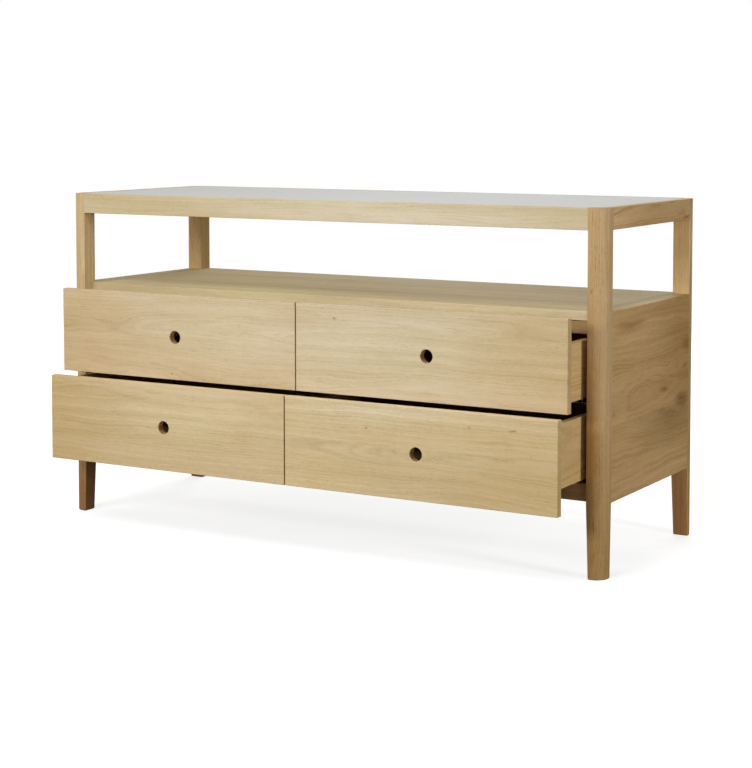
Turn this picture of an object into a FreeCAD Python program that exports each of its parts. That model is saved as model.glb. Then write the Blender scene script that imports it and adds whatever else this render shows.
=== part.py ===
import FreeCAD, Part
import os
from FreeCAD import Vector

# Overall size of the sideboard, in millimetres
overall_width = 1400.0
overall_depth = 520.0
overall_height = 775.0

# Legs: square posts with a full round on the outer corner, tapered below the case
leg_side = 40.0
leg_outer_round = 28.0
foot_side = 35.0
foot_chamfer = 1.5
edge_round = 1.2

# Top frame, its rebate, the glass and the board that carries it
top_rail_height = 47.0
top_rail_thickness = 26.0
top_border = 19.0
top_corner_round = 20.0
glass_thickness = 5.0
glass_edge = 0.6
support_board_thickness = 12.0
top_gap = 0.6

# Mortise and tenon joints of the top frame
top_tenon_thickness = 10.0
top_tenon_length = 20.0
top_tenon_shoulder = 3.0
side_tenon_inset = 8.0

# Drawer case
case_top = 558.0
case_bottom = 158.0
shelf_thickness = 20.0
shelf_setback = 26.0
shelf_gap = 0.5
leg_gap = 1.0
side_panel_thickness = 20.0
panel_tongue_thickness = 8.0
panel_tongue_depth = 8.0
panel_tongue_shoulder = 20.0
shelf_rail_height = 28.0
shelf_rail_setback = 34.0
case_rail_thickness = 20.0
bottom_rail_height = 36.0
rail_tenon_thickness = 8.0
rail_tenon_length = 15.0
rail_tenon_shoulder = 5.0
front_rail_tenon_inset = 2.0
bottom_panel_thickness = 12.0
bottom_panel_lift = 14.0
bottom_panel_groove = 6.0
back_panel_thickness = 10.0
back_panel_inset = 8.0
back_panel_groove = 8.0
divider_thickness = 20.0
bearer_thickness = 28.0
bearer_height = 40.0
bearer_drop = 20.0

# Drawer fronts
front_thickness = 19.0
front_inset = 4.0
front_end_gap = 4.0
front_centre_gap = 3.0
upper_front_bottom = 357.0
upper_front_top = 553.0
lower_front_bottom = 154.0
lower_front_top = 351.5
front_edge_round = 1.2
finger_hole_diameter = 30.0
finger_hole_chamfer = 1.0

# Drawer boxes
box_overrun = 20.0
box_side_clearance = 5.0
box_side_thickness = 15.0
box_back_thickness = 13.0
box_back_inset = 10.0
box_back_drop = 8.0
box_bottom_thickness = 8.0
box_bottom_lift = 13.0
box_groove = 5.0
front_housing = 6.0
upper_box_bottom = 377.0
upper_box_top = 498.5
lower_box_bottom = 206.0
lower_box_top = 340.0

# How far each row stands open at rest
upper_open = 90.0
lower_open = 136.0

# Concealed runners, measured from the mounting face inwards
runner_steel = 1.2
runner_end_gap = 2.0
runner_play = 0.3
case_flange_height = 32.0
case_member_drop = 16.0
case_track_start = 22.0
case_track_width = 28.0
case_track_height = 10.0
case_lip = 6.5
middle_end_gap = 2.0
middle_width = 23.0
middle_head_width = 18.0
roller_diameter = 5.5
roller_width = 6.0
roller_end_gap = 20.0
drawer_member_width = 25.0
drawer_member_lip = 5.0

# Soft pads behind the fronts
pad_diameter = 8.0
pad_thickness = 2.4
pad_edge_distance = 22.0

# Smallest distance that counts as a difference between two places
snug = 0.001

# Places that follow from the sizes
half_width = overall_width / 2
half_depth = overall_depth / 2
leg_inner_x = half_width - leg_side
leg_inner_y = half_depth - leg_side
rebate_depth = glass_thickness + support_board_thickness
rebate_floor = overall_height - rebate_depth
rail_bottom = overall_height - top_rail_height
shelf_bottom = case_top - shelf_thickness
shelf_front = shelf_setback - half_depth
panel_inner_x = half_width - side_panel_thickness
back_outer_y = half_depth - back_panel_inset
back_inner_y = back_outer_y - back_panel_thickness
bottom_rail_top = case_bottom + bottom_rail_height
bottom_rail_back = shelf_front + case_rail_thickness
panel_low = case_bottom + bottom_panel_lift
panel_high = panel_low + bottom_panel_thickness
bearer_face_x = panel_inner_x - bearer_thickness
divider_face_x = divider_thickness / 2
front_face_y = front_inset - half_depth
front_back_y = front_face_y + front_thickness
runner_front_y = bottom_rail_back + runner_end_gap
runner_length = leg_inner_y - runner_end_gap - runner_front_y
middle_length = runner_length - middle_end_gap - middle_end_gap
box_end_y = front_back_y + runner_length + box_overrun

# Heights and places across a runner, from its mounting face and the box side's lower edge
track_middle = case_track_start + case_track_width / 2
case_web_low = -case_member_drop
case_web_high = case_web_low + runner_steel
track_top = case_web_low + case_track_height
middle_low = case_web_high + runner_play + roller_diameter + runner_play
drawer_web_low = box_bottom_lift - runner_steel
middle_high = drawer_web_low - runner_play - roller_diameter - runner_play

# Which legs a board passes, as the sides of x and y that they stand on
front_corners = [(-1, -1), (1, -1)]
back_corners = [(-1, 1), (1, 1)]

# The frame stands on the floor under the middle of the box that the open sideboard fills
lower_front_reach = lower_open - front_inset
frame_shift = Vector(0, lower_front_reach / 2, 0)


def block(x, y, z):
    """A rectangular piece between two places on each axis."""
    low = Vector(x[0], y[0], z[0])
    return Part.makeBox(x[1] - x[0], y[1] - y[0], z[1] - z[0], low)


def mirror_x(shape):
    """The same piece on the left side."""
    return shape.mirror(Vector(0, 0, 0), Vector(1, 0, 0))


def mirror_y(shape):
    """The same piece at the back."""
    return shape.mirror(Vector(0, 0, 0), Vector(0, 1, 0))


def edges_on(shape, **planes):
    """The edges that lie wholly on the given x, y or z planes."""
    chosen = []
    for edge in shape.Edges:
        box = edge.BoundBox
        low = {"x": box.XMin, "y": box.YMin, "z": box.ZMin}
        high = {"x": box.XMax, "y": box.YMax, "z": box.ZMax}
        if all(abs(low[a] - v) < snug and abs(high[a] - v) < snug for a, v in planes.items()):
            chosen.append(edge)
    return chosen


def ease(shape, radius, *places):
    """Round the edges on each of the named pairs of planes."""
    edges = []
    for planes in places:
        edges += edges_on(shape, **planes)
    return shape.makeFillet(radius, edges)


def rounded_outline(x, y, z, radii):
    """A closed flat outline with its own radius at each corner, zero for a sharp one."""
    corners = [(x[0], y[0]), (x[1], y[0]), (x[1], y[1]), (x[0], y[1])]
    inward = [(1, 1), (-1, 1), (-1, -1), (1, -1)]
    stops = []
    for (cx, cy), (sx, sy), radius in zip(corners, inward, radii):
        along_x = Vector(cx + sx * radius, cy, z)
        along_y = Vector(cx, cy + sy * radius, z)
        centre = Vector(cx + sx * radius, cy + sy * radius, z)
        middle = centre - Vector(sx, sy, 0).normalize() * radius
        stops.append((along_x, middle, along_y, radius))
    ordered = []
    for index, (along_x, middle, along_y, radius) in enumerate(stops):
        enter, leave = (along_y, along_x) if index % 2 == 0 else (along_x, along_y)
        ordered.append((enter, middle, leave, radius))
    edges = []
    for index, (enter, middle, leave, radius) in enumerate(ordered):
        if radius > 0:
            edges.append(Part.Arc(enter, middle, leave).toShape())
        following = ordered[(index + 1) % len(ordered)][0]
        edges.append(Part.LineSegment(leave, following).toShape())
    return Part.Wire(edges)


def extrude_outline(outline, height):
    """A flat outline pushed straight up into a solid."""
    return Part.Face(outline).extrude(Vector(0, 0, height))


def leg_section(side, z, rounds, inset=0):
    """The leg's cross-section at one height; the two outer faces stay in line."""
    outer_x = half_width - inset
    outer_y = half_depth - inset
    x = (half_width - side + inset, outer_x)
    y = (-outer_y, side - half_depth - inset)
    return rounded_outline(x, y, z, rounds)


def leg_post():
    """The front right leg before its joints are cut."""
    full = leg_outer_round
    soft = edge_round
    bare = [0, full, 0, 0]
    beside_panel = [soft, full, 0, 0]
    in_the_open = [soft, full, soft, soft]
    chamfer_rounds = [soft, full - foot_chamfer, soft, soft]
    foot = Part.makeLoft(
        [
            leg_section(foot_side, 0, chamfer_rounds, foot_chamfer),
            leg_section(foot_side, foot_chamfer, in_the_open),
        ],
        True,
        True,
    )
    taper = Part.makeLoft(
        [
            leg_section(foot_side, foot_chamfer, in_the_open),
            leg_section(leg_side, case_bottom, in_the_open),
        ],
        True,
        True,
    )
    in_case = extrude_outline(leg_section(leg_side, case_bottom, beside_panel), case_top - case_bottom)
    in_bay = extrude_outline(leg_section(leg_side, case_top, in_the_open), rail_bottom - case_top)
    in_frame = extrude_outline(leg_section(leg_side, rail_bottom, bare), top_rail_height)
    return foot.fuse([taper, in_case, in_bay, in_frame]).removeSplitter()


def long_rail():
    """The front top rail with a tenon at each end."""
    back = top_rail_thickness - half_depth
    rail = block((-leg_inner_x, leg_inner_x), (-half_depth, back), (rail_bottom, overall_height))
    rail = ease(rail, edge_round, {"y": -half_depth, "z": rail_bottom}, {"y": back, "z": rail_bottom})
    middle = top_rail_thickness / 2 - half_depth
    y = (middle - top_tenon_thickness / 2, middle + top_tenon_thickness / 2)
    z = (rail_bottom + top_tenon_shoulder, rebate_floor - top_tenon_shoulder)
    reach = leg_inner_x + top_tenon_length
    return rail.fuse(block((-reach, reach), y, z)).removeSplitter()


def short_rail():
    """The right top rail; its tenons sit further out, so that they miss the long rail's."""
    inner = half_width - top_rail_thickness
    rail = block((inner, half_width), (-leg_inner_y, leg_inner_y), (rail_bottom, overall_height))
    rail = ease(rail, edge_round, {"x": half_width, "z": rail_bottom}, {"x": inner, "z": rail_bottom})
    x = (half_width - side_tenon_inset - top_tenon_thickness, half_width - side_tenon_inset)
    z = (rail_bottom + top_tenon_shoulder, rebate_floor - top_tenon_shoulder)
    reach = leg_inner_y + top_tenon_length
    return rail.fuse(block(x, (-reach, reach), z)).removeSplitter()


def top_plate(gap, low, thickness):
    """A plate that follows the rebate of the top frame, a gap away from it."""
    x_reach = half_width - top_border - gap
    y_reach = half_depth - top_border - gap
    radius = top_corner_round - gap
    outline = rounded_outline((-x_reach, x_reach), (-y_reach, y_reach), low, [radius] * 4)
    return extrude_outline(outline, thickness)


def glass_top():
    """The satin glass, flush with the frame, with its arris taken off."""
    low = overall_height - glass_thickness
    glass = top_plate(top_gap, low, glass_thickness)
    return glass.makeChamfer(glass_edge, edges_on(glass, z=overall_height))


def side_panel():
    """The right side panel, flush with the legs, tongued into them front and back."""
    panel = block((panel_inner_x, half_width), (-leg_inner_y, leg_inner_y), (case_bottom, case_top))
    panel = ease(panel, edge_round, {"x": half_width, "z": case_top}, {"x": half_width, "z": case_bottom})
    middle = half_width - side_panel_thickness / 2
    x = (middle - panel_tongue_thickness / 2, middle + panel_tongue_thickness / 2)
    z = (case_bottom + panel_tongue_shoulder, case_top - panel_tongue_shoulder)
    reach = leg_inner_y + panel_tongue_depth
    return panel.fuse(block(x, (-reach, reach), z)).removeSplitter()


def bottom_rail(front, tenon_inset):
    """A rail along the bottom of the case, tenoned into the legs; front is its front face."""
    back = front + case_rail_thickness
    rail = block((-leg_inner_x, leg_inner_x), (front, back), (case_bottom, bottom_rail_top))
    rail = ease(rail, edge_round, {"y": front, "z": case_bottom}, {"y": back, "z": case_bottom})
    y = (front + tenon_inset, front + tenon_inset + rail_tenon_thickness)
    z = (case_bottom + rail_tenon_shoulder, bottom_rail_top - rail_tenon_shoulder)
    reach = leg_inner_x + rail_tenon_length
    return rail.fuse(block((-reach, reach), y, z)).removeSplitter()


def leg_corners(gap, places):
    """Square posts a gap larger than the legs, which cut the boards that pass the legs."""
    posts = []
    for side_x, side_y in places:
        x = sorted((side_x * (leg_inner_x - gap), side_x * half_width))
        y = sorted((side_y * (leg_inner_y - gap), side_y * half_depth))
        posts.append(block(x, y, (0, overall_height)))
    return posts


def shelf_rail():
    """The rail under the front of the shelf, notched round the front legs."""
    front = shelf_rail_setback - half_depth
    back = front + case_rail_thickness
    z = (shelf_bottom - shelf_rail_height, shelf_bottom)
    rail = block((-panel_inner_x, panel_inner_x), (front, back), z)
    return rail.cut(leg_corners(0, front_corners))


def shelf_board():
    """The top of the case, between the side panels and notched round all four legs."""
    x_reach = panel_inner_x - shelf_gap
    z = (shelf_bottom, case_top)
    board = block((-x_reach, x_reach), (shelf_front, back_outer_y), z)
    board = ease(board, edge_round, {"y": shelf_front, "z": z[1]}, {"y": shelf_front, "z": z[0]})
    return board.cut(leg_corners(leg_gap, front_corners + back_corners))


def back_panel():
    """The back, let into the rear legs, standing on the back rail under the shelf."""
    x_reach = leg_inner_x + back_panel_groove
    return block((-x_reach, x_reach), (back_inner_y, back_outer_y), (bottom_rail_top, shelf_bottom))


def bottom_panel():
    """The floor of the case, let into the side panels and both bottom rails."""
    x_reach = panel_inner_x + bottom_panel_groove
    y = (bottom_rail_back - bottom_panel_groove, back_outer_y - case_rail_thickness + bottom_panel_groove)
    panel = block((-x_reach, x_reach), y, (panel_low, panel_high))
    return panel.cut(leg_corners(0, front_corners + back_corners))


def centre_divider():
    """The upright board between the left and right drawers, notched for the shelf rail."""
    z = (panel_high, shelf_bottom)
    back_rail_front = back_outer_y - case_rail_thickness
    divider = block((-divider_face_x, divider_face_x), (bottom_rail_back, back_inner_y), z)
    rail_room = block(
        (-half_width, half_width),
        (back_rail_front, half_depth),
        (case_bottom, bottom_rail_top),
    )
    return divider.cut([shelf_rail(), rail_room])


def bearer(box_bottom):
    """A strip on the right side panel that brings the runner out past the legs."""
    low = box_bottom - bearer_drop
    y = (bottom_rail_back, leg_inner_y)
    return block((bearer_face_x, panel_inner_x), y, (low, low + bearer_height))


def rolled_section(points, length):
    """A strip of runner steel bent through the points, seen along the runner, and its length."""
    path = Part.makePolygon([Vector(s, 0, z) for s, z in points])
    section = path.makeOffset2D(runner_steel, join=2, fill=True, openResult=True)
    return section.extrude(Vector(0, length, 0))


def case_member():
    """The fixed channel: a flange on the mounting face, a web and a track with turned-in lips."""
    track_end = case_track_start + case_track_width
    flange_top = case_web_low + case_flange_height
    web = rolled_section(
        [(0, flange_top), (0, case_web_low), (track_end, case_web_low), (track_end, track_top)],
        runner_length,
    )
    low_lip = track_end - case_lip
    outer_lip = block((low_lip, track_end), (0, runner_length), (track_top - runner_steel, track_top))
    near_wall = block(
        (case_track_start, case_track_start + runner_steel),
        (0, runner_length),
        (case_web_high, track_top),
    )
    inner_lip = block(
        (case_track_start, case_track_start + case_lip),
        (0, runner_length),
        (track_top - runner_steel, track_top),
    )
    return web.fuse([outer_lip, near_wall, inner_lip]).removeSplitter()


def middle_member():
    """The sliding middle section: a foot in the case track, a web and a head for the drawer."""
    y = (0, middle_length)
    foot_x = (track_middle - middle_width / 2, track_middle + middle_width / 2)
    web_x = (track_middle - runner_steel / 2, track_middle + runner_steel / 2)
    head_x = (track_middle - middle_head_width / 2, track_middle + middle_head_width / 2)
    foot = block(foot_x, y, (middle_low, middle_low + runner_steel))
    web = block(web_x, y, (middle_low, middle_high))
    head = block(head_x, y, (middle_high - runner_steel, middle_high))
    return foot.fuse([web, head]).removeSplitter()


def roller(y, z):
    """One hardened roller lying across the runner."""
    start = Vector(track_middle - roller_width / 2, y, z)
    return Part.makeCylinder(roller_diameter / 2, roller_width, start, Vector(1, 0, 0))


def middle_rollers():
    """A roller under the back of the middle member and one on top of its front."""
    low_z = case_web_high + runner_play + roller_diameter / 2
    high_z = drawer_web_low - runner_play - roller_diameter / 2
    return [roller(middle_length - roller_end_gap, low_z), roller(roller_end_gap, high_z)]


def drawer_member():
    """The inverted channel under the drawer bottom, with lips under the middle head."""
    left = track_middle - drawer_member_width / 2
    right = track_middle + drawer_member_width / 2
    lip_low = middle_high - runner_steel - runner_play - runner_steel
    web = block((left, right), (0, runner_length), (drawer_web_low, box_bottom_lift))
    walls = []
    for edge, inward in ((left, 1), (right, -1)):
        wall_x = sorted((edge, edge + inward * runner_steel))
        lip_x = sorted((edge, edge + inward * drawer_member_lip))
        walls.append(block(wall_x, (0, runner_length), (lip_low, box_bottom_lift)))
        walls.append(block(lip_x, (0, runner_length), (lip_low, lip_low + runner_steel)))
    return web.fuse(walls).removeSplitter()


def runner_pair(shapes, y, box_bottom):
    """The same runner pieces on the bearer side and, mirrored, on the divider side."""
    pair = []
    for shape in shapes:
        by_divider = shape.copy()
        by_divider.translate(Vector(divider_face_x, y, box_bottom))
        by_bearer = mirror_x(shape)
        by_bearer.translate(Vector(bearer_face_x, y, box_bottom))
        pair += [by_bearer, by_divider]
    return pair


def drawer(front_bottom, front_top, box_bottom, box_top):
    """The wooden pieces of one right-hand drawer, closed."""
    front_x = (front_centre_gap / 2, leg_inner_x - front_end_gap)
    box_x = (divider_face_x + box_side_clearance, bearer_face_x - box_side_clearance)
    inner_x = (box_x[0] + box_side_thickness, box_x[1] - box_side_thickness)
    housed_y = front_back_y - front_housing
    bottom_z = (box_bottom + box_bottom_lift, box_bottom + box_bottom_lift + box_bottom_thickness)
    back_outer = box_end_y - box_back_inset
    groove_x = (inner_x[0] - box_groove, inner_x[1] + box_groove)

    bottom = block(groove_x, (housed_y, back_outer), bottom_z)
    back_y = (back_outer - box_back_thickness, back_outer)
    back = block(groove_x, back_y, (bottom_z[1], box_top - box_back_drop))

    sides = []
    for x in ((box_x[0], inner_x[0]), (inner_x[1], box_x[1])):
        side = block(x, (housed_y, box_end_y), (box_bottom, box_top))
        side = ease(side, edge_round, {"x": x[0], "z": box_top}, {"x": x[1], "z": box_top})
        sides.append(side.cut([bottom, back]))

    front = block(front_x, (front_face_y, front_back_y), (front_bottom, front_top))
    front = ease(front, front_edge_round, {"y": front_face_y}, {"y": front_back_y})
    centre = Vector((front_x[0] + front_x[1]) / 2, front_face_y, (front_bottom + front_top) / 2)
    radius = finger_hole_diameter / 2
    front = front.cut(Part.makeCylinder(radius, front_thickness, centre, Vector(0, 1, 0)))
    rims = [edge for edge in front.Edges if edge.BoundBox.YLength < snug and len(edge.Vertexes) == 1]
    front = front.makeChamfer(finger_hole_chamfer, rims)
    front = front.cut(sides + [bottom])
    return {
        "front": front,
        "inner_side": sides[0],
        "outer_side": sides[1],
        "back": back,
        "bottom": bottom,
    }


def pads(z):
    """Soft round pads on the back of a front, near its ends, which meet the case when it shuts."""
    shapes = []
    ends = (front_centre_gap / 2 + pad_edge_distance, leg_inner_x - front_end_gap - pad_edge_distance)
    for x in ends:
        start = Vector(x, front_back_y, z)
        shapes.append(Part.makeCylinder(pad_diameter / 2, pad_thickness, start, Vector(0, 1, 0)))
    return shapes


# Build the frame and the case, each piece where it belongs
nodes = {}
rail_front = long_rail()
rail_right = short_rail()
rebate = top_plate(0, rebate_floor, rebate_depth)
rails = {
    "top_rail_front": rail_front,
    "top_rail_back": mirror_y(rail_front),
    "top_rail_right": rail_right,
    "top_rail_left": mirror_x(rail_right),
}
panel_right = side_panel()
floor_panel = bottom_panel()
rail_low_front = bottom_rail(shelf_front, front_rail_tenon_inset)
back_tenon_inset = (case_rail_thickness - rail_tenon_thickness) / 2
rail_low_back = bottom_rail(back_outer_y - case_rail_thickness, back_tenon_inset)
rear_board = back_panel()

front_joints = [rail_front, rail_right, panel_right, rail_low_front, rebate]
back_joints = [mirror_y(rail_front), rail_right, panel_right, rail_low_back, rear_board, rebate]
post = leg_post()
front_leg = post.cut(front_joints)
back_leg = mirror_y(post).cut(back_joints)
nodes["leg_front_right"] = front_leg
nodes["leg_front_left"] = mirror_x(front_leg)
nodes["leg_back_right"] = back_leg
nodes["leg_back_left"] = mirror_x(back_leg)
for name, rail in rails.items():
    nodes[name] = rail.cut(rebate)
nodes["top_support_board"] = top_plate(top_gap, rebate_floor, support_board_thickness)
nodes["glass_top"] = glass_top()
nodes["shelf_board"] = shelf_board()
nodes["shelf_rail"] = shelf_rail()
nodes["side_panel_right"] = panel_right.cut(floor_panel)
nodes["side_panel_left"] = mirror_x(nodes["side_panel_right"])
nodes["bottom_panel"] = floor_panel
nodes["bottom_rail_front"] = rail_low_front.cut(floor_panel)
nodes["bottom_rail_back"] = rail_low_back.cut(floor_panel)
nodes["back_panel"] = rear_board
nodes["centre_divider"] = centre_divider()

# Build each row of drawers with its bearers and runners
rows = {
    "upper": (upper_front_bottom, upper_front_top, upper_box_bottom, upper_box_top, upper_open),
    "lower": (lower_front_bottom, lower_front_top, lower_box_bottom, lower_box_top, lower_open),
}
pad_heights = {
    "upper": (shelf_bottom + upper_front_top) / 2,
    "lower": (case_bottom + bottom_rail_top) / 2,
}
sides_of_case = {"right": lambda shape: shape.copy(), "left": mirror_x}
for row, (front_bottom, front_top, box_bottom, box_top, opened) in rows.items():
    strip = bearer(box_bottom)
    fixed = runner_pair([case_member()], runner_front_y, box_bottom)
    middle_y = runner_front_y + (runner_length - middle_length) / 2 - opened / 2
    middle = runner_pair([middle_member()] + middle_rollers(), middle_y, box_bottom)
    sliding = runner_pair([drawer_member()], front_back_y + runner_end_gap - opened, box_bottom)
    pieces = drawer(front_bottom, front_top, box_bottom, box_top)
    pieces["pads"] = Part.makeCompound(pads(pad_heights[row]))
    for side, place in sides_of_case.items():
        here = row + "_" + side
        nodes["bearer_" + here] = place(strip)
        nodes["runner_case_" + here] = Part.makeCompound([place(shape) for shape in fixed])
        nodes["runner_middle_" + here] = Part.makeCompound([place(shape) for shape in middle])
        nodes["drawer_" + here + "_runner"] = Part.makeCompound([place(shape) for shape in sliding])
        for part_name, shape in pieces.items():
            piece = place(shape)
            piece.translate(Vector(0, -opened, 0))
            nodes["drawer_" + here + "_" + part_name] = piece

# Write every piece in the shared frame
os.makedirs("parts", exist_ok=True)
for name, shape in nodes.items():
    placed = shape.copy()
    placed.translate(frame_shift)
    if not placed.isValid():
        print("not valid:", name)
    placed.exportStep("parts/" + name + ".step")
print(len(nodes), "pieces written")
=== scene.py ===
import math
import random

import bpy
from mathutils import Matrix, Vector


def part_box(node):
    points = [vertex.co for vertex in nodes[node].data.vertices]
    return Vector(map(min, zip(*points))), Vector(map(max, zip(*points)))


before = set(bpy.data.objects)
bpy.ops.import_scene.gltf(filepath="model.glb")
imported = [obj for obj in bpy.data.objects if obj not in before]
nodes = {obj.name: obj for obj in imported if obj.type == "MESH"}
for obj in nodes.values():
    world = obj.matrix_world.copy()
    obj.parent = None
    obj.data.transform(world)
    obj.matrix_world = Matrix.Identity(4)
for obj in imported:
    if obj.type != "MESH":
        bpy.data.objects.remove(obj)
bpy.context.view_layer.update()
print("frame loaded:", len(nodes), "pieces")

mm = 0.001
noiseMiddle = 0.5     # every noise pattern swings about this value

# camera, at the photographer's place on the right front
cameraSetup = {
    "place": (2.21204, -3.71250, 0.97151),
    "lookDown": 3.7543,   # degrees below level
    "turn": 30.3030,      # degrees to the left of straight ahead
    "lens": 87.287,
    "sensor": 36,
    "shiftY": -150 / 768,
    "farEnd": 60,
}
cameraData = bpy.data.cameras.new("studioCamera")
cameraData.sensor_width = cameraSetup["sensor"]
cameraData.lens = cameraSetup["lens"]
cameraData.shift_y = cameraSetup["shiftY"]
cameraData.clip_end = cameraSetup["farEnd"]
studioCamera = bpy.data.objects.new("studioCamera", cameraData)
studioCamera.location = cameraSetup["place"]
studioCamera.rotation_euler = (
    math.radians(90 - cameraSetup["lookDown"]),
    0,
    math.radians(cameraSetup["turn"]),
)
bpy.context.scene.collection.objects.link(studioCamera)
bpy.context.scene.camera = studioCamera
bpy.context.scene.view_settings.view_transform = "Standard"


# small helpers for materials
def linearColour(hexColour):
    channels = [int(hexColour[i:i + 2], 16) / 255 for i in (1, 3, 5)]
    return [c / 12.92 if c <= 0.04045 else ((c + 0.055) / 1.055) ** 2.4 for c in channels] + [1.0]


def addNode(tree, kind, inputs=None, **settings):
    node = tree.nodes.new(kind)
    for key, value in settings.items():
        setattr(node, key, value)
    for key, value in (inputs or {}).items():
        if isinstance(value, bpy.types.Node):
            value = value.outputs[0]
        if isinstance(value, bpy.types.NodeSocket):
            tree.links.new(value, node.inputs[key])
        else:
            node.inputs[key].default_value = value
    return node


def newMaterial(name):
    material = bpy.data.materials.new(name)
    material.use_nodes = True
    material.node_tree.nodes.clear()
    return material


def dress(node, material):
    for place in nodes[node].material_slots:
        place.material = material


maths, vectors = "ShaderNodeMath", "ShaderNodeVectorMath"
noise, ranger = "ShaderNodeTexNoise", "ShaderNodeMapRange"
mixer, ramper = "ShaderNodeMix", "ShaderNodeValToRGB"
splitter, joiner = "ShaderNodeSeparateXYZ", "ShaderNodeCombineXYZ"

# oak, sawn, sanded and oiled: growth rings give arches and fine lines, pores give short dark
# dashes, rays give pale flecks, and the oil leaves a soft low sheen
oakSettings = {
    "treeSpacing": (37.0, 53.0, 71.0),   # how far apart the staves' patterns are taken
    "pithAcross": 300 * mm,      # how far beside the stave the pith may lie
    "pithDepth": 150 * mm,       # how far behind the face it may lie
    "pithNearest": 10 * mm,
    "pithTilt": 0.12,            # slope of the pith against the face
    "pithStray": 46 * mm,        # how far the pith wanders along the stave
    "ringWidth": 4.6 * mm,       # one year
    "ringWaver": 1.0,            # fine waver, so that no line is drawn with a compass
    "yearDrift": 2.8,            # how unlike each other the years are
    "yearGroup": 14.286 * mm,    # depth of wood over which their width changes
    "yearTones": ((0.0, 0.30), (0.10, 0.95), (0.32, 0.55), (0.58, 0.12), (0.85, 0.0), (1.0, 0.35)),
    "lineFade": (0.36, 0.62, 0.25, 1.35),   # noise from and to, and the lines' strength there
    "bandDepth": 11.765 * mm,    # wide pale and dark bands that follow the rings
    "bandWaver": 6 * mm,
    "bandShare": 1.0,
    "poreRange": (0.55, 0.70),   # noise at which a pore starts, and at which it is full
    "poresInLateWood": 0.25,
    "poreDepth": 0.16,
    "fibreShare": 0.20,
    "mottleShare": 0.32,
    "cloudShare": 0.28,
    "shimmerShare": 0.05,
    "rayHeight": 11 * mm,
    "rayThickness": 1.1 * mm,    # a real ray is 0.3 mm thick, drawn thicker so that it shows
    "rayLength": 7 * mm,
    "rayRadius": 70 * mm,        # usual distance from the pith, which turns an angle to a width
    "rayRange": (0.62, 0.70),
    "rayShare": 0.05,
    "lateTint": (1.05, 1.055, 1.07),
    "earlyTint": (0.78, 0.70, 0.58),
    "shadeTint": (0.92, 1.05, 1.42),  # where oak is darker it is also warmer
    "warmTint": (1.005, 0.99, 0.945),
    "coolTint": (0.995, 1.008, 1.045),
    "warmthRange": (0.32, 0.68),
    "endTint": (0.86, 0.78, 0.68),    # end grain drinks more oil and turns darker
    "endRange": (0.6, 0.9),           # how squarely the grain meets a face there
    "boreShade": (0.72, 0.60, 0.48),   # the wall of a finger hole darkened: painted shade in the hollow
    "edgeRange": (0.80, 0.95),        # how squarely the width meets a face at a board's edge
    "roughness": 0.70,
    "poreRoughness": 0.14,
    "fibreRelief": 0.25,
    "lineRelief": -0.25,
    "reliefHeight": 0.4 * mm,
    "waveSize": (142.9 * mm, 62.5 * mm),   # slow waves of the grain, along and across
    "markWobble": 10 * mm,            # how ragged the edge of a knot or stain is
    "wobbleSize": 16.67 * mm,
}

# patterns stretched along the grain: length, width, detail and roughness of each
oakPatterns = {
    "stray": (666.7 * mm, 222.2 * mm, 2.5, 0.50),     # the pith wanders this slowly
    "waver": (100 * mm, 10.526 * mm, 3.0, 0.60),      # each ring's line bends this often
    "fade": (142.9 * mm, 23.81 * mm, 2.0, 0.50),      # the lines fade and return
    "pore": (10 * mm, 0.9 * mm, 1.0, 0.50),           # real pores are 0.3 mm, drawn wider to show
    "fibre": (55 * mm, 1.7 * mm, 3.5, 0.62),          # real ones are far finer, drawn wider to show
    "mottle": (22.22 * mm, 7.692 * mm, 3.0, 0.60),    # blotches as wide as two years' growth
    "cloud": (384.6 * mm, 41.67 * mm, 3.0, 0.55),     # warm and cool areas
    "shimmer": (38.46 * mm, 142.9 * mm, 2.0, 0.50),   # cross bands where the fibre rises and falls
}


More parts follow.
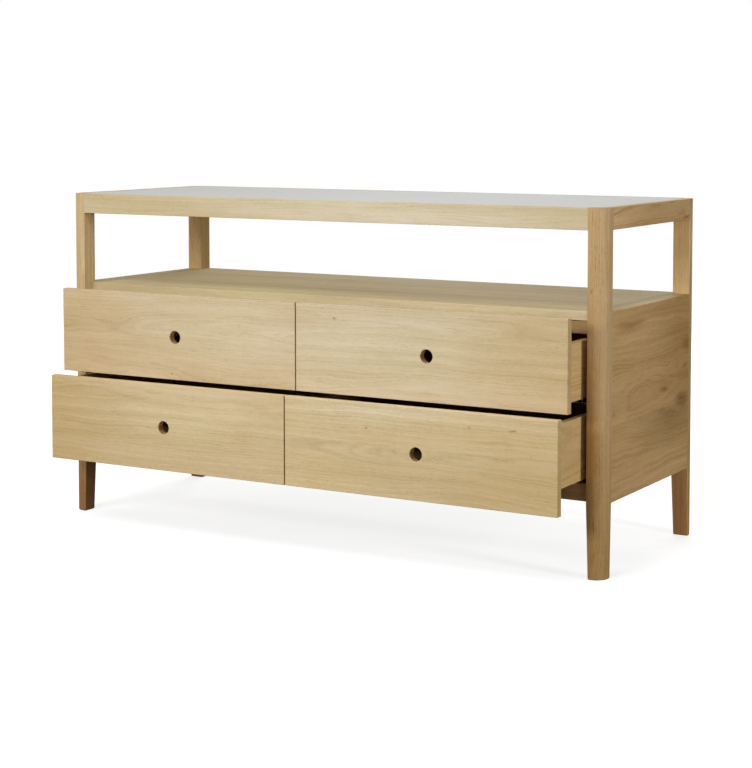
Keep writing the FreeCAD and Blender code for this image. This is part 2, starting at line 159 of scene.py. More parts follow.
def buildOakGroup():
    tree = bpy.data.node_groups.new("sawnOakGrain", "ShaderNodeTree")
    sockets = (
        ("Board", "INPUT", "NodeSocketVector"),
        ("Seed", "INPUT", "NodeSocketColor"),
        ("Tone", "INPUT", "NodeSocketColor"),
        ("Contrast", "INPUT", "NodeSocketFloat"),
        ("Fine", "INPUT", "NodeSocketFloat"),
        ("Push", "INPUT", "NodeSocketFloat"),
        ("End", "INPUT", "NodeSocketFloat"),
        ("Colour", "OUTPUT", "NodeSocketColor"),
        ("Roughness", "OUTPUT", "NodeSocketFloat"),
        ("Height", "OUTPUT", "NodeSocketFloat"),
    )
    for name, way, kind in sockets:
        tree.interface.new_socket(name, in_out=way, socket_type=kind)
    start = addNode(tree, "NodeGroupInput")
    board, seed = start.outputs["Board"], start.outputs["Seed"]
    contrast = start.outputs["Contrast"]
    oak = oakSettings

    # each stave is sawn from another tree, so its seed moves every pattern
    far = addNode(tree, vectors, {0: seed, 1: oak["treeSpacing"]}, operation="MULTIPLY")
    chance = addNode(tree, splitter, {0: seed})
    along = addNode(tree, splitter, {0: board})
    patterns = {}
    for name, (length, width, detail, roughness) in oakPatterns.items():
        stretch = (1 / length, 1 / width, 1 / width)
        place = addNode(tree, vectors, {0: board, 1: stretch, 2: far}, operation="MULTIPLY_ADD")
        setup = {"Vector": place, "Scale": 1.0, "Detail": detail, "Roughness": roughness}
        patterns[name] = addNode(tree, noise, setup)

    # where the pith lies, and how it wanders along the board. a chance is between 0 and 1
    wander = addNode(tree, vectors, {
        0: patterns["stray"].outputs["Color"],
        1: (noiseMiddle, noiseMiddle, noiseMiddle),
    }, operation="SUBTRACT")
    wander = addNode(tree, vectors, {0: wander, "Scale": oak["pithStray"]}, operation="SCALE")
    wander = addNode(tree, splitter, {0: wander})
    across = addNode(tree, maths, {0: chance.outputs[0], 1: 0.5}, operation="SUBTRACT")
    across = addNode(tree, maths, {
        0: across, 1: oak["pithAcross"], 2: along.outputs[1],
    }, operation="MULTIPLY_ADD")
    across = addNode(tree, maths, {0: across, 1: wander.outputs[0]}, operation="ADD")
    pithDepth = addNode(tree, maths, {
        0: chance.outputs[1], 1: oak["pithDepth"], 2: oak["pithNearest"],
    }, operation="MULTIPLY_ADD")
    tilt = addNode(tree, maths, {0: chance.outputs[2], 1: 0.5}, operation="SUBTRACT")
    tilt = addNode(tree, maths, {0: tilt, 1: oak["pithTilt"]}, operation="MULTIPLY")
    depth = addNode(tree, maths, {0: along.outputs[0], 1: tilt, 2: pithDepth}, operation="MULTIPLY_ADD")
    depth = addNode(tree, maths, {0: depth, 1: along.outputs[2]}, operation="ADD")
    depth = addNode(tree, maths, {0: depth, 1: wander.outputs[1]}, operation="ADD")
    radial = addNode(tree, joiner, {0: across, 1: depth})
    radius = addNode(tree, vectors, {0: radial}, operation="LENGTH").outputs["Value"]
    radius = addNode(tree, maths, {0: radius, 1: start.outputs["Push"]}, operation="ADD")

    # years differ in width, and a fine waver bends every line
    years = addNode(tree, noise, {
        "W": radius, "Scale": 1 / oak["yearGroup"], "Detail": 1.0,
    }, noise_dimensions="1D")
    phase = addNode(tree, maths, {0: radius, 1: oak["ringWidth"]}, operation="DIVIDE")
    phase = addNode(tree, maths, {0: years, 1: oak["yearDrift"], 2: phase}, operation="MULTIPLY_ADD")
    phase = addNode(tree, maths, {
        0: patterns["waver"], 1: oak["ringWaver"], 2: phase,
    }, operation="MULTIPLY_ADD")
    ring = addNode(tree, maths, {0: phase}, operation="FRACT")
    early = addNode(tree, ramper, {0: ring})
    ramp = early.color_ramp
    ramp.interpolation = "EASE"
    ramp.elements.remove(ramp.elements[1])
    for index, (position, value) in enumerate(oak["yearTones"]):
        spot = ramp.elements.new(position) if index else ramp.elements[0]
        spot.color = (value, value, value, 1)

    # the lines fade and return along the board, and some groups of years are darker than others
    low, high, weak, strong = oak["lineFade"]
    fade = addNode(tree, ranger, {0: patterns["fade"], 1: low, 2: high, 3: weak, 4: strong})
    lines = addNode(tree, maths, {0: early.outputs["Color"], 1: fade}, operation="MULTIPLY")
    strength = addNode(tree, maths, {0: lines, 1: contrast}, operation="MULTIPLY")
    bandPlace = addNode(tree, maths, {
        0: patterns["waver"], 1: oak["bandWaver"], 2: radius,
    }, operation="MULTIPLY_ADD")
    bands = addNode(tree, noise, {
        "W": bandPlace, "Scale": 1 / oak["bandDepth"], "Detail": 2.0, "Roughness": 0.6,
    }, noise_dimensions="1D")
    bands = addNode(tree, maths, {0: bands, 1: noiseMiddle}, operation="SUBTRACT")
    bands = addNode(tree, maths, {0: bands, 1: contrast}, operation="MULTIPLY")

    # pores lie in the first growth of each year
    low, high = oak["poreRange"]
    poreHoles = addNode(tree, ranger, {0: patterns["pore"], 1: low, 2: high})
    poreChance = addNode(tree, maths, {0: lines, 1: oak["poresInLateWood"]}, operation="ADD")
    pores = addNode(tree, maths, {
        0: poreHoles, 1: poreChance,
    }, operation="MULTIPLY", use_clamp=True)

    # rays spread from the pith: flecks on a radial face, ticks on a flat one
    turn = addNode(tree, maths, {0: across, 1: depth}, operation="ARCTAN2")
    rayPlace = addNode(tree, joiner, {0: along.outputs[0], 1: turn, 2: radius})
    raySize = (1 / oak["rayHeight"], oak["rayRadius"] / oak["rayThickness"], 1 / oak["rayLength"])
    rayPlace = addNode(tree, vectors, {0: rayPlace, 1: raySize, 2: far}, operation="MULTIPLY_ADD")
    rays = addNode(tree, noise, {"Vector": rayPlace, "Scale": 1.0, "Detail": 1.0})
    low, high = oak["rayRange"]
    rays = addNode(tree, ranger, {0: rays, 1: low, 2: high})

    # colour: pale late growth and deeper early growth, in wood that is warmer here and cooler there
    low, high = oak["warmthRange"]
    warmth = addNode(tree, ranger, {0: patterns["cloud"], 1: low, 2: high})
    tint = addNode(tree, mixer, {
        0: warmth, 6: [*oak["warmTint"], 1], 7: [*oak["coolTint"], 1],
    }, data_type="RGBA").outputs[2]
    tone = addNode(tree, vectors, {0: start.outputs["Tone"], 1: tint}, operation="MULTIPLY")
    late = addNode(tree, vectors, {0: tone, 1: oak["lateTint"]}, operation="MULTIPLY")
    first = addNode(tree, vectors, {0: tone, 1: oak["earlyTint"]}, operation="MULTIPLY")
    body = addNode(tree, mixer, {0: strength, 6: late, 7: first}, data_type="RGBA").outputs[2]

    # shade: fibres and pores, then the wider patterns. each swings about zero, and all add up
    grit = addNode(tree, maths, {0: patterns["fibre"], 1: noiseMiddle}, operation="SUBTRACT")
    grit = addNode(tree, maths, {0: grit, 1: oak["fibreShare"]}, operation="MULTIPLY")
    grit = addNode(tree, maths, {0: pores, 1: -oak["poreDepth"], 2: grit}, operation="MULTIPLY_ADD")
    shade = addNode(tree, maths, {0: grit, 1: start.outputs["Fine"]}, operation="MULTIPLY")
    mottle = addNode(tree, maths, {0: patterns["mottle"], 1: noiseMiddle}, operation="SUBTRACT")
    mottle = addNode(tree, maths, {0: mottle, 1: contrast}, operation="MULTIPLY")
    clouds = addNode(tree, maths, {0: patterns["cloud"], 1: noiseMiddle}, operation="SUBTRACT")
    shimmer = addNode(tree, maths, {0: patterns["shimmer"], 1: noiseMiddle}, operation="SUBTRACT")
    shares = (
        (clouds, "cloudShare"), (shimmer, "shimmerShare"), (bands, "bandShare"),
        (mottle, "mottleShare"), (rays, "rayShare"),
    )
    for pattern, share in shares:
        shade = addNode(tree, maths, {0: pattern, 1: oak[share], 2: shade}, operation="MULTIPLY_ADD")
    shade = addNode(tree, vectors, {
        0: shade, 1: oak["shadeTint"], 2: (1.0, 1.0, 1.0),
    }, operation="MULTIPLY_ADD")
    toned = addNode(tree, vectors, {0: body, 1: shade}, operation="MULTIPLY")
    low, high = oak["endRange"]
    ends = addNode(tree, ranger, {0: start.outputs["End"], 1: low, 2: high})
    deep = addNode(tree, vectors, {0: toned, 1: oak["endTint"]}, operation="MULTIPLY")
    toned = addNode(tree, mixer, {0: ends, 6: toned, 7: deep}, data_type="RGBA").outputs[2]

    rough = addNode(tree, maths, {
        0: pores, 1: oak["poreRoughness"], 2: oak["roughness"],
    }, operation="MULTIPLY_ADD")
    height = addNode(tree, maths, {0: patterns["fibre"], 1: oak["fibreRelief"]}, operation="MULTIPLY")
    height = addNode(tree, maths, {0: height, 1: pores}, operation="SUBTRACT")
    height = addNode(tree, maths, {0: lines, 1: oak["lineRelief"], 2: height}, operation="MULTIPLY_ADD")
    addNode(tree, "NodeGroupOutput", {"Colour": toned, "Roughness": rough, "Height": height})
    return tree


oakGroup = buildOakGroup()
print("oak grain ready")

# how a board lies: which axes of the object its length, width and thickness follow
boardTurns = {
    "xz": ((1, 0, 0), (0, 0, 1), (0, 1, 0)),   # grain to the side, face to the front
    "xy": ((1, 0, 0), (0, 1, 0), (0, 0, 1)),   # grain to the side, face up
    "yz": ((0, 1, 0), (0, 0, 1), (1, 0, 0)),   # grain to the back, face to the side
    "zx": ((0, 0, 1), (1, 0, 0), (0, 1, 0)),   # grain upright, face to the front
}


def squareTo(tree, coordinates, row):      # how squarely a face looks along one axis of the board
    facing = addNode(tree, vectors, {
        0: coordinates.outputs["Normal"], 1: row,
    }, operation="DOT_PRODUCT")
    return addNode(tree, maths, {0: facing.outputs["Value"]}, operation="ABSOLUTE")


def oakMaterial(name, node, seed, lie, tone, staves=(), pith=None, marks=(), contrast=0.25, fine=1.0,
                bump=0.2, toneSpread=0.05, specular=0.05, bore=0.0, edgeTint=None, wave=0.0):
    material = newMaterial(name)
    tree = material.node_tree
    low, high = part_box(node)
    rows = [Vector(row) for row in boardTurns[lie]]
    coordinates = addNode(tree, "ShaderNodeTexCoord")
    centred = addNode(tree, vectors, {
        0: coordinates.outputs["Object"], 1: (low + high) / 2,
    }, operation="SUBTRACT")
    parts = []
    for row in rows:
        part = addNode(tree, vectors, {0: centred, 1: row}, operation="DOT_PRODUCT")
        parts.append(part.outputs["Value"])
    board = addNode(tree, joiner, dict(enumerate(parts)))
    if wave:
        length, width = oakSettings["waveSize"]
        stretched = addNode(tree, vectors, {
            0: board, 1: (1 / length, 1 / width, 1 / width),
        }, operation="MULTIPLY")
        waves = addNode(tree, noise, {"Vector": stretched, "Scale": 1.0, "Detail": 2.0})
        waves = addNode(tree, vectors, {
            0: waves.outputs["Color"], 1: (noiseMiddle, noiseMiddle, noiseMiddle),
        }, operation="SUBTRACT")
        board = addNode(tree, vectors, {
            0: waves, 1: (0.0, wave, wave), 2: board,
        }, operation="MULTIPLY_ADD")

    # staves: the joints cross the width, and each stave has its own pith and its own tone
    width = abs(rows[1].dot(high - low))
    draw = random.Random(seed)
    share = addNode(tree, ranger, {0: parts[1], 1: -width / 2, 2: width / 2})
    seedRamp = addNode(tree, ramper, {0: share})
    toneRamp = addNode(tree, ramper, {0: share})
    for ramp in (seedRamp.color_ramp, toneRamp.color_ramp):
        ramp.interpolation = "CONSTANT"
        ramp.elements.remove(ramp.elements[1])
        ramp.elements[0].position = 0.0
        for edge in staves:
            ramp.elements.new(edge)
    for index in range(len(staves) + 1):
        drawn = (draw.random(), draw.random(), draw.random())
        seedRamp.color_ramp.elements[index].color = (*(pith or {}).get(index, drawn), 1)
        level = 0.5 + toneSpread * (draw.random() * 2 - 1)
        blue = level * (1 + toneSpread * (draw.random() - 0.5))
        toneRamp.color_ramp.elements[index].color = (level, level, blue, 1)
    doubled = [2 * c for c in linearColour(tone)[:3]]    # the ramp's tones lie about a half
    staveTone = addNode(tree, vectors, {0: toneRamp, 1: doubled}, operation="MULTIPLY")

    # marks: knots push the rings aside, and stains only change the colour. the other marks are
    # painted light and painted shade, and only change the colour too
    push = 0.0
    shades = []
    if marks:
        ragged = oakSettings["markWobble"]
        wobble = addNode(tree, noise, {
            "Vector": board, "Scale": 1 / oakSettings["wobbleSize"], "Detail": 2.0,
        })
        wobble = addNode(tree, vectors, {
            0: wobble.outputs["Color"], 1: (ragged, ragged, 0.0), 2: board,
        }, operation="MULTIPLY_ADD")
    for at, size, amount, markTint in marks:
        scale = (1 / size[0], 1 / size[1], 0)
        shift = [-(at[i] + noiseMiddle * ragged) / size[i] for i in (0, 1)]
        spot = addNode(tree, vectors, {0: wobble, 1: scale, 2: (*shift, 0)}, operation="MULTIPLY_ADD")
        reach = addNode(tree, vectors, {0: spot}, operation="LENGTH").outputs["Value"]
        soft = addNode(tree, ranger, {0: reach, 1: 1.0, 2: 0.0}, interpolation_type="SMOOTHSTEP")
        if amount:
            push = addNode(tree, maths, {0: soft, 1: amount, 2: push}, operation="MULTIPLY_ADD")
        if markTint:
            shades.append((soft, markTint))

    grain = addNode(tree, "ShaderNodeGroup", node_tree=oakGroup)
    wiring = {
        "Board": board,
        "Seed": seedRamp,
        "Tone": staveTone,
        "End": squareTo(tree, coordinates, rows[0]),
        "Push": push,
        "Contrast": contrast,
        "Fine": fine,
    }
    for socket, source in wiring.items():
        if isinstance(source, bpy.types.Node):
            tree.links.new(source.outputs[0], grain.inputs[socket])
        else:
            grain.inputs[socket].default_value = source

    # tints on top of the grain: marks; the board's edges, painted light on some boards and painted
    # shade on others; and the wall of a finger hole, darkened as painted shade
    colour = grain.outputs["Colour"]
    if edgeTint:
        start, full = oakSettings["edgeRange"]
        across = squareTo(tree, coordinates, rows[1])
        shades.append((addNode(tree, ranger, {0: across, 1: start, 2: full}), edgeTint))
    # painted shade on the wall of a finger hole
    if bore:
        spot = addNode(tree, vectors, {0: board, 1: (1.0, 1.0, 0.0)}, operation="MULTIPLY")
        reach = addNode(tree, vectors, {0: spot}, operation="LENGTH").outputs["Value"]
        boreShadeMask = addNode(tree, maths, {0: reach, 1: bore}, operation="LESS_THAN")
        shades.append((boreShadeMask, oakSettings["boreShade"]))
    for where, shadeTint in shades:
        stained = addNode(tree, vectors, {0: colour, 1: shadeTint}, operation="MULTIPLY")
        colour = addNode(tree, mixer, {0: where, 6: colour, 7: stained}, data_type="RGBA").outputs[2]

    relief = addNode(tree, "ShaderNodeBump", {
        "Height": grain.outputs["Height"], "Strength": bump, "Distance": oakSettings["reliefHeight"],
    })
    shader = addNode(tree, "ShaderNodeBsdfPrincipled", {
        "Base Color": colour,
        "Roughness": grain.outputs["Roughness"],
        "Normal": relief,
        "IOR": 1.5,
        "Specular IOR Level": specular,
    })
    addNode(tree, "ShaderNodeOutputMaterial", {"Surface": shader})
    return material


# each piece of oak: how it lies, its tone, where its glued staves meet, as shares of its width,
# where the pith of a stave lies, and its marks: knots, stains, and patches of painted light and
# painted shade. a mark is a place on the board, its half sizes, how far it pushes the rings, all in
# metres, and its tint
darkKnot = (0.62, 0.50, 0.38)
paleKnot = (0.84, 0.76, 0.64)
# the boards hidden inside the case get a darker oak tone: painted shade inside the case
hiddenShadedOak = "#94744c"
frontLook = {"lie": "xz", "fine": 1.25, "wave": 10 * mm, "bore": 15.2 * mm}    # bore is a radius
oakPieces = {
    "leg_front_right": {
        "lie": "zx", "tone": "#cfae80", "contrast": 0.38, "fine": 2.0, "pith": {0: (0.62, 0.35, 0.62)},
        "marks": [
            ((-0.10, -0.018), (0.50, 0.036), 0.0, (0.72, 0.60, 0.45)),
            # painted shade: darker and warmer towards the foot
            ((-0.30, 0.0), (0.45, 0.090), 0.0, (0.82, 0.76, 0.59)),
            ((-0.105, -0.004), (0.10, 0.010), 0.0, (1.04, 0.88, 0.78)),
            ((0.235, 0.010), (0.012, 0.004), 0.002, paleKnot),
            ((0.215, -0.012), (0.010, 0.004), 0.002, paleKnot),
            ((-0.275, -0.002), (0.035, 0.003), 0.002, (0.74, 0.64, 0.52)),
            ((-0.345, -0.006), (0.022, 0.009), 0.005, (0.93, 0.90, 0.84)),
            # painted shade: the foot darker, and the leg darker beside the drawers, which shade it
            ((-0.37, 0.0), (0.13, 0.09), 0.0, (0.90, 0.85, 0.80)),
            ((0.10, 0.0), (0.13, 0.09), 0.0, (0.94, 0.93, 0.92)),
        ],
    },
    "leg_front_left": {
        "lie": "zx", "tone": "#e2c592", "contrast": 0.40, "fine": 1.8, "pith": {0: (0.40, 0.50, 0.45)},
        "marks": [
            # painted shade: the foot darker and redder, shaded by the drawers above it
            ((-0.36, 0.0), (0.36, 0.09), 0.0, (0.68, 0.53, 0.41)),
            ((-0.37, 0.0), (0.18, 0.09), 0.0, (0.84, 0.70, 0.66)),
        ],
    },
    "leg_back_right": {
        "lie": "zx", "tone": "#e8c691", "contrast": 0.34, "fine": 1.4, "pith": {0: (0.30, 0.40, 0.50)},
        # painted shade: the faces to the left and right darker than the front
        "edgeTint": (0.54, 0.56, 0.52),
        "marks": [
            # painted shade: darker and warmer towards the foot
            ((-0.36, 0.0), (0.36, 0.09), 0.0, (1.06, 0.78, 0.56)),
            # painted light: the top of the leg in the open bay paler
            ((0.30, 0.0), (0.11, 0.09), 0.0, (1.44, 1.42, 1.40)),
            ((-0.31, 0.006), (0.05, 0.004), 0.0, (1.0, 0.80, 0.70)),
        ],
    },
    "leg_back_left": {
        "lie": "zx", "tone": "#dcb981", "contrast": 0.40, "fine": 1.8,
        # painted shade: the foot darker and warmer
        "marks": [((-0.38, 0.0), (0.30, 0.09), 0.0, (0.66, 0.54, 0.42))],
    },
    "top_rail_front": {
        "lie": "xz", "tone": "#d5c39c", "contrast": 0.20, "fine": 1.2, "pith": {0: (0.62, 0.30, 0.54)},
        # painted light: a paler, bluer pool over the middle of the rail
        "marks": [((0.19, 0.0), (0.55, 0.08), 0.0, (1.13, 1.21, 1.42))],
    },
    "top_rail_back": {"lie": "xz", "tone": "#cbb892", "contrast": 0.2},
    "top_rail_left": {"lie": "yz", "tone": "#c6ac7c", "contrast": 0.3},
    "top_rail_right": {
        "lie": "yz", "tone": "#c6a475", "contrast": 0.60, "fine": 1.4, "pith": {0: (0.42, 0.12, 0.58)},
        "marks": [
            ((0.165, -0.004), (0.05, 0.012), 0.005, (0.86, 0.80, 0.70)),
            # painted light: a paler, bluer patch towards the front end
            ((-0.22, 0.0), (0.22, 0.08), 0.0, (1.28, 1.33, 1.50)),
            ((0.200, -0.016), (0.040, 0.005), 0.002, (0.66, 0.54, 0.42)),
        ],
    },
    "shelf_board": {
        "lie": "xy", "tone": "#e2d0a2", "contrast": 0.18, "specular": 0.03, "toneSpread": 0.03,
        # painted shade: the front and back edges darker than the top
        "staves": [0.14, 0.30, 0.47, 0.63, 0.80], "edgeTint": (0.89, 0.87, 0.91),
        "marks": [
            # painted shade: darker bands beside the side panels and in the far right corner
            ((0.659, 0.0), (0.020, 4.0), 0.0, (0.84, 0.83, 0.84)),
            ((-0.659, 0.0), (0.020, 4.0), 0.0, (0.84, 0.83, 0.84)),
            ((0.64, 0.24), (0.66, 0.34), 0.0, (0.80, 0.78, 0.70)),
            ((0.55, 0.0), (0.90, 0.90), 0.0, (1.01, 1.01, 0.97)),
            # painted light towards the front left and along the front edge on the right, painted shade
            # along the front edge on the left
            ((-0.24, -0.15), (0.34, 0.25), 0.0, (1.10, 1.12, 1.05)),
            ((-0.66, -0.243), (0.50, 0.02), 0.0, (0.94, 0.91, 0.86)),
            ((0.62, -0.243), (1.10, 0.02), 0.0, (1.17, 1.17, 1.24)),
        ],
    },
    "shelf_rail": {"lie": "xz", "tone": "#c2a374", "contrast": 0.4},
    "side_panel_right": {
        "lie": "yz", "tone": "#caa672", "contrast": 0.44, "fine": 1.6, "toneSpread": 0.08,
        # painted light: the top and bottom edges paler than the face
        "staves": [0.19, 0.40, 0.60, 0.859], "wave": 18 * mm, "edgeTint": (1.45, 1.70, 1.88),
        "pith": {
            0: (0.10, 0.60, 0.50), 1: (0.62, 0.16, 0.40), 2: (0.50, 0.30, 0.62),
            3: (0.36, 0.14, 0.38), 4: (0.20, 0.22, 0.66),
        },
        "marks": [
            ((0.071, -0.001), (0.036, 0.014), 0.007, (0.64, 0.53, 0.42)),
            ((0.180, -0.032), (0.060, 0.026), 0.009, (0.56, 0.45, 0.35)),
            ((0.195, 0.041), (0.026, 0.010), 0.005, (0.78, 0.70, 0.60)),
            ((0.205, 0.090), (0.044, 0.022), 0.009, (0.74, 0.65, 0.55)),
            ((-0.120, 0.162), (0.12, 0.020), 0.003, (0.70, 0.60, 0.48)),
            ((-0.120, 0.130), (0.20, 0.016), 0.0, (1.14, 1.15, 1.17)),
            ((0.107, -0.065), (0.15, 0.035), 0.0, (0.82, 0.77, 0.70)),
            # painted shade: a dark band under the top edge; painted light: the lower part paler
            ((0.0, 0.185), (0.40, 0.030), 0.0, (0.90, 0.89, 0.88)),
            ((0.0, -0.180), (0.40, 0.090), 0.0, (1.16, 1.17, 1.18)),
            ((0.22, 0.08), (0.26, 0.28), 0.0, (0.77, 0.72, 0.62)),
            # painted shade: the upper back darker; painted light: the lower front paler
            ((0.10, 0.150), (0.24, 0.12), 0.0, (0.89, 0.87, 0.84)),
            ((-0.17, -0.085), (0.20, 0.080), 0.0, (1.24, 1.23, 1.26)),
        ],
    },
    "side_panel_left": {
        "lie": "yz", "tone": "#caa979", "contrast": 0.42, "fine": 1.4,
        # painted light: the top and bottom edges paler than the face
        "staves": [0.12, 0.36, 0.60, 0.85], "wave": 14 * mm, "edgeTint": (1.40, 1.48, 1.62),
    },
    # painted light: redder and brighter than the other rails, standing in for warm light bounced onto
    # it
    "bottom_rail_front": {"lie": "xz", "tone": "#d4a06e", "contrast": 0.4},
    "bottom_rail_back": {"lie": "xz", "tone": "#b8945e", "contrast": 0.4},
    "drawer_upper_right_front": {
        **frontLook, "tone": "#e4d0ab", "contrast": 0.19,
        "staves": [0.108, 0.745], "toneSpread": 0.02,
        "pith": {0: (0.75, 0.50, 0.52), 1: (0.95, 0.70, 0.50), 2: (0.30, 0.10, 0.80)},
        "marks": [
            ((-0.228, 0.070), (0.006, 0.003), 0.002, darkKnot),
            ((0.235, 0.062), (0.085, 0.030), 0.006, (0.93, 0.90, 0.84)),
            ((0.29, 0.052), (0.030, 0.006), 0.0, (0.90, 0.85, 0.77)),
            # painted shade: the right end darker and warmer
            ((0.33, -0.02), (0.30, 0.40), 0.0, (0.93, 0.86, 0.73)),
            # painted light: a paler, bluer band across the middle
            ((-0.13, 0.01), (0.32, 0.09), 0.0, (1.04, 1.08, 1.12)),
        ],
    },
    "drawer_upper_left_front": {
        **frontLook, "tone": "#dfc9a3", "contrast": 0.22,
        "staves": [0.36], "toneSpread": 0.02,
        "pith": {0: (0.85, 0.60, 0.50), 1: (0.42, 0.14, 0.30)},
        "marks": [
            ((-0.165, 0.026), (0.090, 0.042), 0.005, (0.94, 0.91, 0.86)),
            # painted shade: the left end darker and warmer
            ((-0.33, 0.0), (0.30, 0.40), 0.0, (0.92, 0.85, 0.73)),
            # painted light: a paler, bluer band across the middle
            ((0.18, 0.02), (0.30, 0.10), 0.0, (1.06, 1.10, 1.13)),
            ((-0.009, -0.083), (0.005, 0.0025), 0.001, darkKnot),
        ],
    },
    "drawer_lower_right_front": {
        **frontLook, "tone": "#e6cd9d", "contrast": 0.28,
        "staves": [0.56], "toneSpread": 0.01,
        "pith": {0: (0.50, 0.16, 0.24), 1: (0.72, 0.40, 0.55)},
        "marks": [
            ((-0.120, 0.046), (0.007, 0.004), 0.002, (0.76, 0.68, 0.54)),
            ((0.127, 0.068), (0.006, 0.003), 0.001, darkKnot),
            ((0.227, 0.068), (0.014, 0.004), 0.003, darkKnot),
            ((0.175, 0.040), (0.075, 0.007), 0.0, (0.90, 0.85, 0.76)),
            ((0.270, 0.018), (0.004, 0.003), 0.001, (0.80, 0.72, 0.60)),
            # painted shade: the lower right darker and warmer
            ((0.28, -0.06), (0.26, 0.16), 0.0, (0.95, 0.91, 0.82)),
            # painted light: the lower left paler, and a paler, bluer band along the top
            ((-0.33, -0.10), (0.30, 0.12), 0.0, (1.06, 1.05, 1.00)),
            ((-0.12, 0.09), (0.38, 0.07), 0.0, (1.07, 1.13, 1.29)),
            ((0.13, -0.105), (0.25, 0.10), 0.024, None),
            ((0.12, -0.08), (0.14, 0.06), 0.0, (0.94, 0.91, 0.87)),
        ],
    },
    "drawer_lower_left_front": {
        **frontLook, "tone": "#e1c89b", "contrast": 0.24,
        "staves": [0.30, 0.80], "toneSpread": 0.03,
        "pith": {0: (0.44, 0.16, 0.34), 1: (0.90, 0.60, 0.50), 2: (0.30, 0.40, 0.56)},
        "marks": [
            ((-0.208, 0.079), (0.006, 0.004), 0.002, (0.80, 0.72, 0.60)),
            ((0.215, -0.005), (0.050, 0.030), 0.0, (0.95, 0.93, 0.88)),
            # painted shade: the left end darker and warmer
            ((-0.33, 0.0), (0.30, 0.40), 0.0, (0.88, 0.83, 0.71)),
            # painted light: a paler, bluer band across the middle
            ((0.12, 0.03), (0.26, 0.10), 0.0, (1.07, 1.11, 1.15)),
        ],
    },
}

# the boards of a drawer's box: tone in an upper drawer, tone in a lower one, and the rest of the look.
# the inner side, back and bottom are darker than the outer side, and darker still in a lower drawer:
# painted shade inside the boxes, where the insides show through the finger holes
boxBoards = {
    "inner_side": ("#b39468", "#90734c", {"lie": "yz", "staves": [0.45]}),
    "outer_side": ("#e3c085", "#e3c085", {"lie": "yz", "staves": [0.60], "contrast": 0.4}),
    "back": ("#a3845a", "#a3845a", {"lie": "xz", "staves": [0.5]}),
    "bottom": ("#947650", "#755a39", {"lie": "xy", "staves": [0.3, 0.65]}),
}
for side in ("left", "right"):
    for board, (upperTone, lowerTone, look) in boxBoards.items():
        oakPieces[f"drawer_upper_{side}_{board}"] = {**look, "tone": upperTone}
        oakPieces[f"drawer_lower_{side}_{board}"] = {**look, "tone": lowerTone}
    for row in ("upper", "lower"):
        oakPieces[f"bearer_{row}_{side}"] = {"lie": "yz", "tone": hiddenShadedOak}
wideStaves = [0.25, 0.5, 0.75]
for node, lie in {"top_support_board": "xy", "bottom_panel": "xy", "centre_divider": "yz"}.items():
    oakPieces[node] = {"lie": lie, "tone": hiddenShadedOak, "staves": wideStaves}
oakPieces["back_panel"] = {"lie": "xz", "tone": "#c8ad7c", "staves": wideStaves}

firstSeed = 11    # each piece has its own seed, counted on from this one
for index, (node, look) in enumerate(sorted(oakPieces.items())):
    dress(node, oakMaterial("oiledOak_" + node, node, firstSeed + index, **look))
print("oak on", len(oakPieces), "pieces")

# tempered glass, etched on top and painted grey underneath: pale, with a soft milky sheen
glassSettings = {
    "colour": "#d6d6d3",
    "roughness": 0.80,
    "specular": 0.12,
    "gritSize": 1.111 * mm,     # real etching is some 0.02 mm wide, drawn coarser to show
    "gritHeight": 0.1 * mm,
    "gritStrength": 0.08,
}
glassFinish = newMaterial("etchedPaintedGlass")
glassTree = glassFinish.node_tree
glassPlace = addNode(glassTree, "ShaderNodeTexCoord").outputs["Object"]
glassCloud = addNode(glassTree, noise, {
    "Vector": glassPlace, "Scale": 1 / glassSettings["gritSize"], "Detail": 2.0,
})
glassGrit = addNode(glassTree, "ShaderNodeBump", {
    "Height": glassCloud,
    "Strength": glassSettings["gritStrength"],
    "Distance": glassSettings["gritHeight"],
})
glassShader = addNode(glassTree, "ShaderNodeBsdfPrincipled", {
    "Base Color": linearColour(glassSettings["colour"]),
    "Roughness": glassSettings["roughness"],
    "IOR": 1.5,
    "Specular IOR Level": glassSettings["specular"],
    "Normal": glassGrit,
})
addNode(glassTree, "ShaderNodeOutputMaterial", {"Surface": glassShader})
dress("glass_top", glassFinish)

# zinc-plated steel strip, cold rolled: clean grey with fine drawn lines along the runner
steelSettings = {
    "dark": "#a3a4a4",
    "pale": "#bdbebe",
    "smoothest": 0.25,
    "roughest": 0.45,
    "lineWidth": 1.111 * mm,    # real rolling lines are under 0.1 mm, drawn wider to show
    "lineLength": 83.33 * mm,
}
steelFinish = newMaterial("zincPlatedSteel")
steelTree = steelFinish.node_tree
steelPlace = addNode(steelTree, "ShaderNodeTexCoord").outputs["Object"]
linesAcross, linesAlong = 1 / steelSettings["lineWidth"], 1 / steelSettings["lineLength"]
steelMap = addNode(steelTree, "ShaderNodeMapping", {
    "Vector": steelPlace, "Scale": (linesAcross, linesAlong, linesAcross),
})
steelLines = addNode(steelTree, noise, {"Vector": steelMap, "Scale": 1.0, "Detail": 2.0})
steelRough = addNode(steelTree, ranger, {
    0: steelLines, 3: steelSettings["smoothest"], 4: steelSettings["roughest"],
})
steelColour = addNode(steelTree, mixer, {
    0: steelLines, 6: linearColour(steelSettings["dark"]), 7: linearColour(steelSettings["pale"]),
}, data_type="RGBA")
steelShader = addNode(steelTree, "ShaderNodeBsdfPrincipled", {
    "Base Color": steelColour.outputs[2],
    "Metallic": 1.0,
    "Roughness": steelRough,
})
addNode(steelTree, "ShaderNodeOutputMaterial", {"Surface": steelShader})

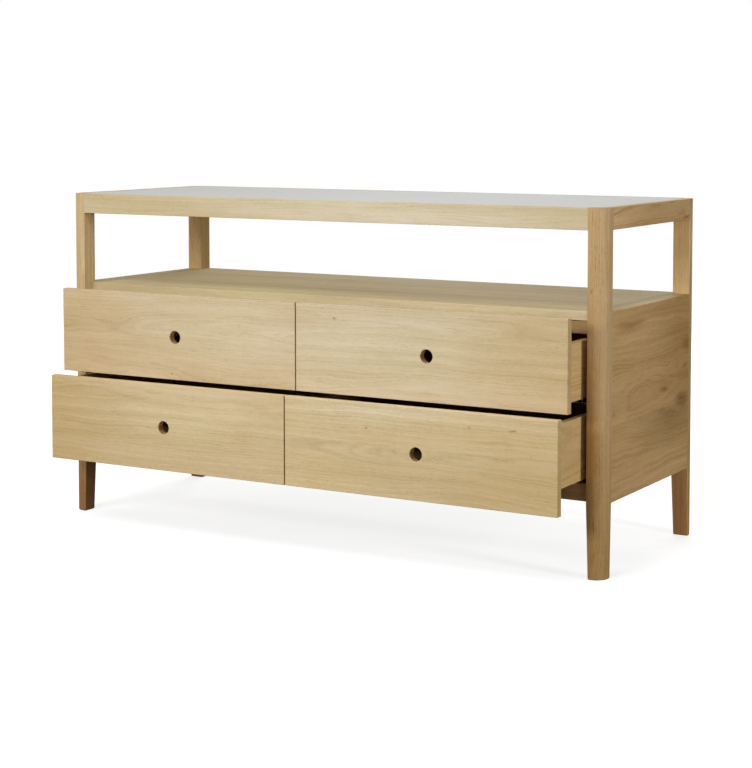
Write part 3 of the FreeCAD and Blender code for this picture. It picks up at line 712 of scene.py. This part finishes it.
# clear soft polyurethane dot, cast: milky and slightly glossy
padSettings = {"colour": "#d8d8d2", "roughness": 0.25, "clear": 0.5}
padFinish = newMaterial("castPolyurethane")
padTree = padFinish.node_tree
padShader = addNode(padTree, "ShaderNodeBsdfPrincipled", {
    "Base Color": linearColour(padSettings["colour"]),
    "Roughness": padSettings["roughness"],
    "Transmission Weight": padSettings["clear"],
    "IOR": 1.5,
})
addNode(padTree, "ShaderNodeOutputMaterial", {"Surface": padShader})
for row in ("upper", "lower"):
    for side in ("left", "right"):
        dress(f"runner_case_{row}_{side}", steelFinish)
        dress(f"runner_middle_{row}_{side}", steelFinish)
        dress(f"drawer_{row}_{side}_runner", steelFinish)
        dress(f"drawer_{row}_{side}_pads", padFinish)
print("glass, steel and pads ready")

# studio: white world and floor, and the object's soft shadow on it
studio = {
    "ambient": 0.015,           # what the white world gives as light
    "floorColour": "#d2d2d1",   # as the camera sees it
    "floorBounce": "#6c6c6c",   # as its light falls back on the object
    "floorShow": 0.73,          # how much of the floor's white the shadows never reach
    "floorSize": 40.0,
    "floorCorners": 64,
    "fadeStart": 1.6,           # from here to fadeEnd the shadow runs out to white
    "fadeEnd": 3.4,
    "lampAim": (0.0, 0.0, 0.4),
}


def seenDirectly(tree):
    ways = addNode(tree, "ShaderNodeLightPath").outputs
    seen = ways["Is Camera Ray"]
    for way in ("Is Glossy Ray", "Is Transmission Ray"):
        seen = addNode(tree, maths, {0: seen, 1: ways[way]}, operation="MAXIMUM")
    return seen


world = bpy.data.worlds.new("studioWorld")
world.use_nodes = True
worldTree = world.node_tree
worldTree.nodes.clear()
bpy.context.scene.world = world
level = addNode(worldTree, ranger, {0: seenDirectly(worldTree), 3: studio["ambient"], 4: 1.0})
sky = addNode(worldTree, "ShaderNodeBackground", {"Color": (1, 1, 1, 1), "Strength": level})
addNode(worldTree, "ShaderNodeOutputWorld", {"Surface": sky})

bpy.ops.object.select_all(action="DESELECT")
bpy.ops.mesh.primitive_circle_add(
    vertices=studio["floorCorners"],
    radius=studio["floorSize"] / 2,
    fill_type="NGON",
    location=(0, 0, 0),
)
floor = bpy.context.object
floor.name = "studioFloor"
floorFinish = newMaterial("mattWhiteFloor")
floorTree = floorFinish.node_tree
floorPlace = addNode(floorTree, "ShaderNodeTexCoord").outputs["Object"]
away = addNode(floorTree, vectors, {0: floorPlace}, operation="LENGTH").outputs["Value"]
fade = addNode(floorTree, ranger, {
    0: away, 1: studio["fadeStart"], 2: studio["fadeEnd"], 3: studio["floorShow"], 4: 1.0,
}, interpolation_type="SMOOTHSTEP")
floorSeen = seenDirectly(floorTree)
shown = addNode(floorTree, maths, {0: fade, 1: floorSeen}, operation="MULTIPLY")
floorTone = addNode(floorTree, mixer, {
    0: floorSeen, 6: linearColour(studio["floorBounce"]), 7: linearColour(studio["floorColour"]),
}, data_type="RGBA")
matt = addNode(floorTree, "ShaderNodeBsdfDiffuse", {"Color": floorTone.outputs[2]})
white = addNode(floorTree, "ShaderNodeEmission", {"Color": (1, 1, 1, 1), "Strength": shown})
floorSum = addNode(floorTree, "ShaderNodeAddShader", {0: matt, 1: white})
addNode(floorTree, "ShaderNodeOutputMaterial", {"Surface": floorSum})
floor.data.materials.append(floorFinish)

# soft boxes: place, size and watts of each. all look at the middle of the object
softBoxes = {
    "ceilingBox": ((0.0, 0.3, 2.3), (2.5, 1.0), 6),
    "overheadBox": ((0.0, -1.5, 2.4), (2.6, 0.8), 18),
    "frontBox": ((-0.6, -3.8, 1.7), (3.0, 0.8), 82),
    "rightFrontBox": ((3.0, -3.0, 2.0), (1.6, 1.6), 11),
    "rightBox": ((4.0, -0.7, 1.0), (0.6, 1.4), 49),
    "backBox": ((-0.7, 3.3, 1.8), (2.8, 1.2), 67),
    "leftBackBox": ((-3.2, 2.6, 1.7), (2.0, 2.0), 8),
    "leftBox": ((-4.0, -0.5, 1.5), (1.5, 1.5), 19),
}
for name, (place, size, power) in softBoxes.items():
    data = bpy.data.lights.new(name, "AREA")
    data.shape = "RECTANGLE"
    data.size, data.size_y = size
    data.energy = power
    lamp = bpy.data.objects.new(name, data)
    lamp.location = place
    view = Vector(studio["lampAim"]) - Vector(place)
    lamp.rotation_euler = view.to_track_quat("-Z", "Y").to_euler()
    bpy.context.scene.collection.objects.link(lamp)
print("studio lit")
